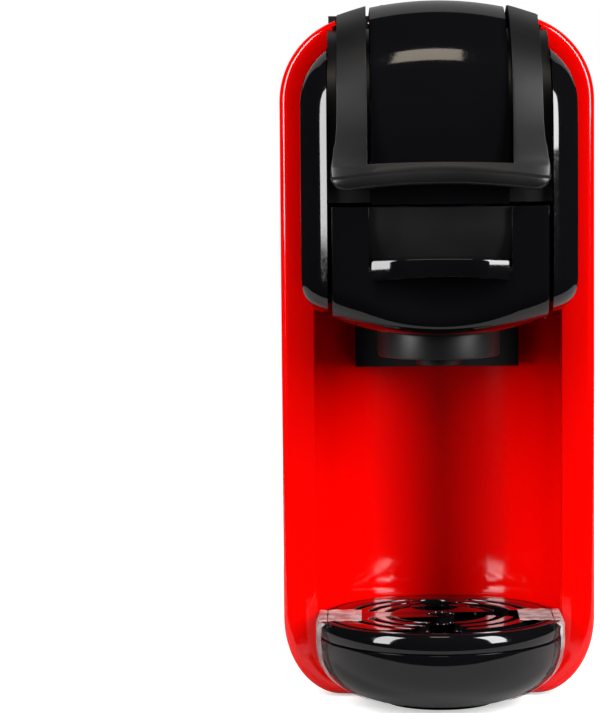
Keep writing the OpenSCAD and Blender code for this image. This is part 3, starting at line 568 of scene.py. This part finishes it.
cover_rows = [cover_row(s) for s in cover_run()]
cover_rows.insert(0, [(x, y + 5, z) for x, y, z in cover_rows[0]])
end_row = cover_rows[-1]
cover_rows += [[(x, COVER_END - 0.2, z - 0.3) for x, y, z in end_row],
               [(x, COVER_END, max(TOP + 0.1, min(z - 1.0, TOP + 1.0))) for x, y, z in end_row],
               [(x, COVER_END, TOP + 0.1) for x, y, z in end_row]]
hole_tools = []
for x in (-BUTTON_X, BUTTON_X):
    rounds = [[(x + BUTTON_HOLE * cos(radians(6 * i)), BUTTON_Y + BUTTON_HOLE * sin(radians(6 * i)), z)
               for i in range(60)] for z in (262, 285)]
    tool = skin("hole_tool", rounds, loop=True)
    hole_tools.append(close_ends(tool))
cover = thicken(skin("top_cover_gloss", cover_rows), 1.8, 0.5, 3, hole_tools)
fit(cover, "housing", GLOSS, "black_gloss", "top_cover")

# ---- Lever ----
# The handle over the head: two arms and a front bar with a flared lip, moulded in one piece of glass-filled
# nylon with a fine satin texture, turning on a cranked steel shaft.
ARM_IN, ARM_OUT = 27.8, 41.6
ARM_Y, ARM_Z, ARM_R, ARM_T = -89.4, 218.5, 56.5, 7.5
ARM_SWEEP, ARM_NARROW, BAR_ROWS = 123.6, 0.175, 9


def slab(name, outer, inner, keep):
    """A thick part between two grids of points in millimetres, over the cells that keep lets stay."""
    outer, inner = np.array(outer, float), np.array(inner, float)
    high, wide = outer.shape[:2]
    size = high * wide
    stay = {(r, c) for r in range(high - 1) for c in range(wide - 1) if keep(r, c)}
    faces = []
    for r, c in stay:
        a, b, d, e = r * wide + c, r * wide + c + 1, (r + 1) * wide + c + 1, (r + 1) * wide + c
        faces += [(a, b, d, e), (size + e, size + d, size + b, size + a)]
        for near, p, q in (((r - 1, c), b, a), ((r + 1, c), e, d), ((r, c - 1), a, e), ((r, c + 1), d, b)):
            if near not in stay:
                faces.append((p, q, size + q, size + p))
    both = np.concatenate([outer.reshape(-1, 3), inner.reshape(-1, 3)])
    mesh = bpy.data.meshes.new(name)
    mesh.from_pydata((both * MM).tolist(), [], faces)
    made = bpy.data.objects.new(name, mesh)
    scene.collection.objects.link(made)
    return made


def lever_section(x):
    """The lever's outer and inner line at x, from the bar's lower edge over the arm to the hub."""
    arch = (x / ARM_OUT) ** 2
    turn_in = max(0.0, (abs(x) - 34.6) / 7.0)
    corner = 1 - sqrt(max(0.0, 1 - turn_in ** 2))
    low, lip, top = 207.1 - 3.2 * arch + 6.5 * corner, 212.5 - 3.6 * arch + 0.6 * corner, 215.6 - 1.5 * arch
    back = 2.6 * corner
    tilt = max(0.0, (abs(x) - ARM_IN) / (ARM_OUT - ARM_IN)) ** 1.1
    outer = [(-147.6 + back * 0.6, low), (-149.6 + back, low + 0.15), (-150.7 + back, low + 0.9),
             (-151.15 + back, low + 0.35 * (lip - low)), (-151.3 + back, lip - 0.9),
             (-151.1 + back, lip - 0.25), (-150.4 + back * 0.9, lip + 0.25),
             (-149.2 + back * 0.7, lip + 0.9), (-148.0 + back * 0.4, top - 0.7),
             (-147.5 + back * 0.3, top), (-146.9 + 0.8 * tilt, top + 1.4),
             (-146.3 + 1.3 * tilt, top + 3.4), (-145.95 + 1.5 * tilt, 221.5)]
    inner = [(-145.0, low + 0.1), (-144.3, low + 0.6)]
    inner += [(-144.2, low + (top - low) * i / 9) for i in range(2, 9)]
    inner += [(-144.2, top), (-142.4, top + 1.2), (-139.4, top + 3.2), (-138.4, 221.5)]
    for i in range(1, 31):
        turn = radians(ARM_SWEEP * i / 30)
        drop = tilt * (1.5 + 2.0 * min(1.0, max(0.0, (i - 3) / 17)) ** 1.5)
        outer.append((ARM_Y - (ARM_R - drop) * cos(turn), ARM_Z + (ARM_R - drop) * sin(turn)))
        r = ARM_R - ARM_T
        inner.append((ARM_Y - r * cos(turn), ARM_Z + r * sin(turn)))
    outer += [(-54.6, 262.6), (-52.0, 260.6), (-50.5, 258.2), (-50.0, 255.5), (-50.4, 253.1),
              (-51.6, 251.1)]
    inner += [(-63.6, 259.6), (-65.2, 257.2), (-65.9, 254.4), (-65.0, 251.8), (-62.6, 249.4),
              (-58.2, 248.1)]
    return outer, inner


def both_ways(half):
    """Distances from the middle, taken to both sides and put in order."""
    return sorted({round(s * x, 3) for s in (-1, 1) for x in half})


lever_x = both_ways([ARM_OUT, 41.35, 40.9, 40.2, 39.2, 38, 36.5, 34.6, 32.4, 30, 28.6, ARM_IN,
                     24, 20, 16, 12, 8, 4, 0])
sections = [lever_section(x) for x in lever_x]
count = len(sections[0][0])


def arm_side(x, row):
    """Where column x lies in a row: the arms stand in a little from the bar's ends."""
    if abs(x) <= ARM_IN:
        return x
    rise = min(1.0, max(0.0, (row - BAR_ROWS + 1) / 8))
    narrow = 1 - ARM_NARROW * rise * rise * (3 - 2 * rise)
    return (1 if x > 0 else -1) * (ARM_IN + (abs(x) - ARM_IN) * narrow)


lever_outer = [[(arm_side(x, r), *s[0][r]) for x, s in zip(lever_x, sections)] for r in range(count)]
lever_inner = [[(arm_side(x, r), *s[1][r]) for x, s in zip(lever_x, sections)] for r in range(count)]
lever = slab("lever_satin", lever_outer, lever_inner,
             lambda r, c: r < BAR_ROWS or abs(lever_x[c] + lever_x[c + 1]) / 2 > ARM_IN)
lever = eased(tidy(lever), 0.9, 3, 46)
fit(lever, "lever", SATIN, "black_satin", "lever_handle")

# ---- Capsule drawer ----
# The drawer's front: one black moulding that carries on the nose's line, with a set-back panel above, a
# raised lip to pull on, and a soft finger hollow below it that runs into the chin.
DRAWER_Z = 198.4
RECESS_X, RECESS_LOW = 27.2, 178.6
HOLLOW_HALF, HOLLOW_DEEP = 31.0, 5.5
PULL_X = 26.8


def turned_back(point):
    """The point set back along the drawer's side, no further than just before the housing."""
    x, y, z = point
    return (x, min(FRONT - 2, y + 7), z)


def drawer_point(x, path_y, path_z):
    """A point on the drawer's face: the nose's line with the crown, the chin's bow and the hollow."""
    z = path_z + chin_lift(x, path_z)
    y = path_y + x * x / (2 * PLAN_R) + corner_back(HEAD_X - abs(x))
    across = max(0.0, 1 - (x / HOLLOW_HALF) ** 2)
    up = min(1.0, max(0.0, (path_z - 150.0) / 14.0))
    off = min(1.0, max(0.0, (181.0 - path_z) / 6.0))
    hollow = HOLLOW_DEEP * across ** 1.6 * (up * up * (3 - 2 * up)) * off
    return (x, y + hollow, z)


drawer_line = [(NOSE_Y, z) for z in (DRAWER_Z, 194, 188, 183, 180.5, RECESS_LOW, 176.5, 174, 171.5, 169,
                                     166.5, 164)]
for i in range(13):
    turn = radians(7.5 * i)
    drawer_line.append((NOSE_Y + CHIN_R * (1 - cos(turn)), CHIN_Z + CHIN_R * (1 - sin(turn))))
drawer_line += [(y, CHIN_Z) for y in (-126, -120, -112, -104, FRONT - 2)]
drawer_x = both_ways([41.4, 40.4, 38.5, 36, 33, 30, 28.4, RECESS_X, 24, 21, 18, 15, 12, 9, 6, 3, 0])
face_rows = [[drawer_point(x, y, z) for x in drawer_x] for y, z in drawer_line]
face_rows.insert(0, [(x, y + 6, z) for x, y, z in face_rows[0]])
face_rows = [[turned_back(row[0])] + row + [turned_back(row[-1])] for row in face_rows]
front = skin("drawer_front_gloss", face_rows,
             keep=lambda x, y, z: not (abs(x) < RECESS_X and z > RECESS_LOW - 4))
front = thicken(front, 2.0, 0.5, 3)
fit(front, "drawer", GLOSS, "black_gloss", "drawer_front")

recess_rows = []
for z in np.linspace(RECESS_LOW - 5, DRAWER_Z, 22):
    fall = max(0.0, (192 - z) / 18)
    recess_rows.append([(x, NOSE_Y + 2.0 + x * x / (2 * PLAN_R) + 4.5 * min(1.0, fall) ** 2, z)
                        for x in np.linspace(-RECESS_X - 0.9, RECESS_X + 0.9, 25)])
recess = thicken(skin("drawer_recess", recess_rows), 1.6, 0.3)
fit(recess, "drawer", SATIN, "black_satin")


def lip_section(x):
    """The pull's section at x, as a closed loop in Y and Z."""
    share = abs(x) / PULL_X
    bend = max(0.0, min(abs(x), 20.0) - 12.0)
    back = 0.032 * bend ** 2 + 0.5 * max(0.0, abs(x) - 20.0)
    top, low = 179.1 - 0.9 * share ** 2, 172.0 - 2.3 * share ** 2
    face = NOSE_Y - 3.6 + back
    nose = [(face + 1.1 * (1 - cos(t)), top - 1.2 + 1.2 * sin(t)) for t in np.linspace(0, pi / 2, 6)]
    root = NOSE_Y + 6.6
    return ([(face + 0.5, low), (face + 0.1, low + 0.3), (face, low + 1.2), (face, (low + top) / 2)]
            + nose + [(face + 3.0, top + 0.1), (root, top + 0.4), (root, top - 3.0),
                      (root - 2.0, low + 1.8), (face + 1.6, low + 0.2)])


lip_x = np.concatenate([[-PULL_X], np.linspace(0.2 - PULL_X, PULL_X - 0.2, 49), [PULL_X]])
lip = skin("drawer_pull", [[(x, y, z) for y, z in lip_section(x)] for x in lip_x], loop=True)
lip = eased(tidy(close_ends(lip), 30), 0.3, 2, 60)
fit(lip, "drawer", GLOSS, "black_gloss", "drawer_grip")

# ---- Outlet ----
# The round black skirt under the drawer with the spout inside it, in satin ABS. Both are turned shapes on
# the drip tray's axis.


def rounded(points, radius, steps=4):
    """A line of (r, z) points with its inner corners rounded."""
    pts = [np.array(p, float) for p in points]
    out = [tuple(pts[0])]
    for a, b, c in zip(pts, pts[1:], pts[2:]):
        back, on = np.linalg.norm(a - b), np.linalg.norm(c - b)
        near = b + (a - b) * min(radius, back / 2) / back
        far = b + (c - b) * min(radius, on / 2) / on
        for i in range(steps + 1):
            t = i / steps
            out.append(tuple((1 - t) ** 2 * near + 2 * t * (1 - t) * b + t * t * far))
    return out + [tuple(pts[-1])]


def lathe(name, profile, middle, steps=96, keep=None):
    """A turned part: (radius, height) points in millimetres, turned about an upright axis at middle."""
    rows = [[(middle[0] + r * cos(2 * pi * i / steps), middle[1] + r * sin(2 * pi * i / steps), z)
             for i in range(steps)] for r, z in profile]
    return tidy(skin(name, rows, loop=True, keep=keep), 32)


ring = [(21.4, 139.2), (21.4, 149.6), (24, 149.6), (24, 138.2), (21.5, 138.2), (21.4, 139.2)]
spout = [(21.5, 141), (21.5, 139.2), (9.2, 139.2), (8.8, 134.6), (3, 134.6), (3, 141), (21.5, 141)]
skirt = lathe("outlet_skirt", rounded(ring, 0.6), (0, BAY_Y))
fit(skirt, "drawer", SATIN, "black_satin", "outlet_spout")
fit(lathe("outlet_nozzle", rounded(spout, 0.5), (0, BAY_Y)), "drawer", SATIN, "black_satin")

# ---- Drip tray ----
# A deep glossy black bowl with a separate rim pressed on it, and a loose slotted grid that rests on the
# rim's ledge. All three are polished ABS.
GRID_TURN = 5.0
steps_z = [0.5, 0.8, 1.3, 2, 3, 4.2, 5.6, 7.2, 9, 11, 13.2, 15.6, 18, 20.4, 22.6, 24.6, 26.2]
bowl_line = [(0, 1.4), (20, 1.4), (22, 0.6)] + [(bowl_radius(z), z) for z in steps_z]
bowl_line += [(48.45, 26.7), (48.1, 27.0), (45.5, 27.0), (45.5, 25)]
bowl_line += [(bowl_radius(z) - 2.5, z) for z in (21, 15.6, 11, 7.2, 4.8)] + [(26, 4.0), (0, 4.0)]
bowl = lathe("drip_bowl_gloss", bowl_line, (0, BAY_Y), 128)
fit(bowl, "tray", GLOSS, "black_gloss", "drip_bowl")
bead = [(45.6 + 2.9 * cos(radians(t)), 29.9 + 4.9 * sin(radians(t))) for t in range(-28, 91, 8)]
rim_line = [(45.4, 25.2), (45.4, 27.05), (47.7, 27.1)] + bead
rim_line += [(45.2, 34.6), (44.9, 34.1), (44.75, 33.3), (44.7, 31.0), (41.5, 31.0), (41.5, 29.0),
             (44.2, 28.0), (44.2, 25.2), (45.4, 25.2)]
rim = lathe("drip_tray_rim", rim_line, (0, BAY_Y), 128)
fit(rim, "tray", GLOSS, "black_gloss", "tray_rim")


def slot_outline(radius, width, start, end):
    """An arc-shaped slot with round ends, as a closed outline."""
    half = width / 2
    turn = [radians(start + (end - start) * i / 16) for i in range(17)]
    outline = [((radius + half) * cos(t), (radius + half) * sin(t)) for t in turn]
    for last, first_turn, way_back in ((turn[-1], 0.0, reversed(turn)), (turn[0], pi, [])):
        middle = (radius * cos(last), radius * sin(last))
        sweep = [last + first_turn + pi * i / 8 for i in range(1, 8)]
        outline += [(middle[0] + half * cos(t), middle[1] + half * sin(t)) for t in sweep]
        outline += [((radius - half) * cos(t), (radius - half) * sin(t)) for t in way_back]
    return outline


def grid_plate(name, radius, z0, z1, ease):
    """The slotted disc: a flat outline with holes, given its thickness and eased edges."""
    curve = bpy.data.curves.new(name, "CURVE")
    curve.dimensions = "2D"
    curve.fill_mode = "BOTH"
    curve.extrude = (z1 - z0) / 2 * MM - ease * MM
    curve.bevel_depth = ease * MM
    curve.bevel_resolution = 2
    curve.offset = -ease * MM
    outlines = [[(radius * cos(2 * pi * i / 128), radius * sin(2 * pi * i / 128)) for i in range(128)]]
    for q in range(4):
        for r, end in ((21, 68), (28, 68), (35, 64)):
            outlines.append(slot_outline(r, 2.9, q * 90 + 14, q * 90 + end))
    window = arc(0, 25, 9.3, 9.3, 0, 180, 20) + [(-9.3, 25), (-9.3, 17)]
    outlines.append(window + arc(0, 17, 9.3, 9.3, 180, 360, 20)[1:] + [(9.3, 17)])
    leaf = []
    for i in range(64):
        turn = radians(360 * i / 64)
        reach = 3.9 + 1.9 * abs(cos(2 * turn)) ** 0.8
        leaf.append((reach * cos(turn), reach * sin(turn)))
    outlines.append(leaf)
    for outline in outlines:
        run = curve.splines.new("POLY")
        run.points.add(len(outline) - 1)
        for point, (x, y) in zip(run.points, outline):
            point.co = (x * MM, y * MM, 0, 1)
        run.use_cyclic_u = True
    flat = bpy.data.objects.new(name, curve)
    scene.collection.objects.link(flat)
    bpy.context.view_layer.update()
    graph = bpy.context.evaluated_depsgraph_get()
    mesh = bpy.data.meshes.new_from_object(flat.evaluated_get(graph))
    bpy.data.objects.remove(flat)
    place = Matrix.Translation((0, BAY_Y * MM, (z0 + z1) / 2 * MM))
    mesh.transform(place @ Matrix.Rotation(radians(GRID_TURN), 4, "Z"))
    made = bpy.data.objects.new(name, mesh)
    scene.collection.objects.link(made)
    return tidy(made, 32)


grid = grid_plate("drip_grid_gloss", 44.0, 31.4, 34.9, 0.45)
fit(grid, "grid", GLOSS, "black_gloss", "drip_grid")

# ---- Transit tape ----
# Clear packing tape, 25 mm wide, from the shop: it runs over the grid's edge and the rim and down both
# sides of the bowl, creased and standing off a little. The grid keeps its own length of it.
TAPE_W, TAPE_FRONT, TAPE_WALL = 25.0, -17.0, 0.09


def tape_strip(name, side, path):
    """A creased strip of tape over the tray's side, along a path of (distance from the middle, height)."""
    rows = []
    for out, z in path:
        row = []
        for i in range(19):
            across = TAPE_FRONT + TAPE_W * i / 18
            free = min(1.0, max(0.0, (-3.0 - across) / 8.0)) if z < 33 else 0.0
            crease = 0.12 * sin(across * 1.7 + z * 0.9) + 0.1 * sin(across * 0.8 - z * 1.9 + side)
            reach = sqrt(max(0.0, out * out - across * across)) if z < 34.9 else out
            reach += 1.1 * free + (crease if z < 34 else 0.0)
            wave = 0.12 * (1 + sin(across * 1.3 + out)) if z > 34 else 0.0
            row.append((side * reach, BAY_Y + across, z + wave))
        rows.append(row)
    strip = skin(name, rows)
    tidy(strip, 60)
    film = strip.modifiers.new("film", "SOLIDIFY")
    film.thickness = TAPE_WALL * MM
    film.offset = 0
    return tidy(settle(strip), 60)


def clear_tape():
    """Clear polypropylene tape: nearly see-through, with a whitish veil where it is creased and a sharp
    gloss."""
    made, tree, shader = material("clear_packing_tape")
    crease = mm_noise(tree, 9.0, 1.5)
    veil = spread(tree, crease, 0.4, 0.7, 0.16, 0.6)
    bump = relief(tree, crease, 0.35)
    dress(tree, shader, two_tone(tree, "#a2a5a5", "#d2d4d3", crease), veil, bump, "Alpha")
    shader.inputs["Roughness"].default_value = 0.16
    return made


TAPE = clear_tape()
over_rim = [(44.6, 35.05), (45.6, 35.15), (46.6, 35.1), (47.6, 34.9), (48.4, 34.0), (48.8, 32.6),
            (48.85, 30.5)]
down_side = over_rim + [(bowl_radius(z) + 0.4, z)
                        for z in (28, 25.5, 23, 20.5, 18, 15.5, 13, 10.5, 8, 6, 4.2, 3)]
on_grid = [(31.0 + 1.4 * i, 35.15) for i in range(9)] + [(43.4, 35.05), (44.2, 35.0)]
for side, hand, bowl_node, grid_node in ((1, "right", ["bowl_tapes"], ["grid_tapes"]), (-1, "left", [], [])):
    fit(tape_strip("bowl_tape_" + hand, side, down_side), "tray", TAPE, "tape", *bowl_node)
    fit(tape_strip("grid_tape_" + hand, side, on_grid), "grid", TAPE, "tape", *grid_node)

# ---- Materials of the parts shown as they are in CAD ----
# What is inside or behind: plain mouldings, pressed and cast metal, rubber, hoses, the boards and the
# tinted tank.


def plain(name, dark, light, size_mm, rough, metal=0.0, bump=0.05, lump_mm=None, **sockets):
    """A material with two close tones in a fine mottle, a roughness range and a little bump."""
    made, tree, shader = material(name)
    mottle = mm_noise(tree, size_mm)
    tone = two_tone(tree, dark, light, mottle)
    dull = spread(tree, mottle, 0.3, 0.7, *rough)
    dents = relief(tree, mm_noise(tree, lump_mm or size_mm / 4, 2.0), bump, 0.0004)
    dress(tree, shader, tone, dull, dents)
    shader.inputs["Metallic"].default_value = metal
    for socket, value in sockets.items():
        shader.inputs[socket.replace("_", " ")].default_value = value
    return made


# Spark-eroded polypropylene: matt near-black with a fine grain.
DARK = plain("textured_black_pp", "#101011", "#17181a", 6, (0.5, 0.62), bump=0.15, lump_mm=0.4)
# Acetal: a slightly waxy off-white.
WHITE = plain("natural_white_pom", "#d9d8d2", "#e8e7e2", 8, (0.4, 0.5))
# Rubber: dull dark grey that takes no highlight.
RUBBER = plain("moulded_rubber", "#17181a", "#202124", 3, (0.7, 0.85), bump=0.2)
# Pressed steel and turned brass: bright metal with a soft, slightly uneven shine.
STEEL = plain("stamped_steel", "#b9bcc0", "#cfd1d4", 2, (0.25, 0.38), metal=1.0)
BRASS = plain("turned_brass", "#b9923f", "#d2ab58", 2, (0.22, 0.34), metal=1.0)
# Die-cast aluminium: greyer and grainier than the steel.
CAST = plain("die_cast_aluminium", "#9b9ea2", "#b3b6ba", 3, (0.42, 0.58), metal=1.0, bump=0.25)
# Smoke-tinted SAN: the tank reads nearly black from outside, with clear sharp edges.
SMOKE = plain("smoke_tinted_san", "#4a5158", "#565d64", 30, (0.04, 0.08), bump=0.02, lump_mm=12,
              Transmission_Weight=0.92, IOR=1.35)
# Silicone hose: milky, with some light coming through.
HOSE = plain("translucent_silicone", "#d8d5cb", "#e6e3da", 6, (0.35, 0.5), Transmission_Weight=0.35)
# Lacquered circuit board, and the varnished wrap round the pump's coil.
BOARD = plain("green_circuit_board", "#0d4a2a", "#17603a", 1.5, (0.35, 0.5))
WRAP = plain("wound_coil_wrap", "#0f1830", "#1a2747", 1.2, (0.4, 0.6), bump=0.25)
by_slot = {"red_gloss": RED, "black_gloss": GLOSS, "black_satin": SATIN, "dark_plastic": DARK,
           "white_plastic": WHITE, "rubber": RUBBER, "steel": STEEL, "brass": BRASS, "cast_aluminium": CAST,
           "tank_smoke": SMOKE, "tape": TAPE, "hose": HOSE, "board": BOARD, "pump_wrap": WRAP}
for part in frame["record"]["subparts"]:
    mesh = frame["nodes"][part["node"]].data
    mesh.materials.clear()
    mesh.materials.append(by_slot[part["material_slot"]])
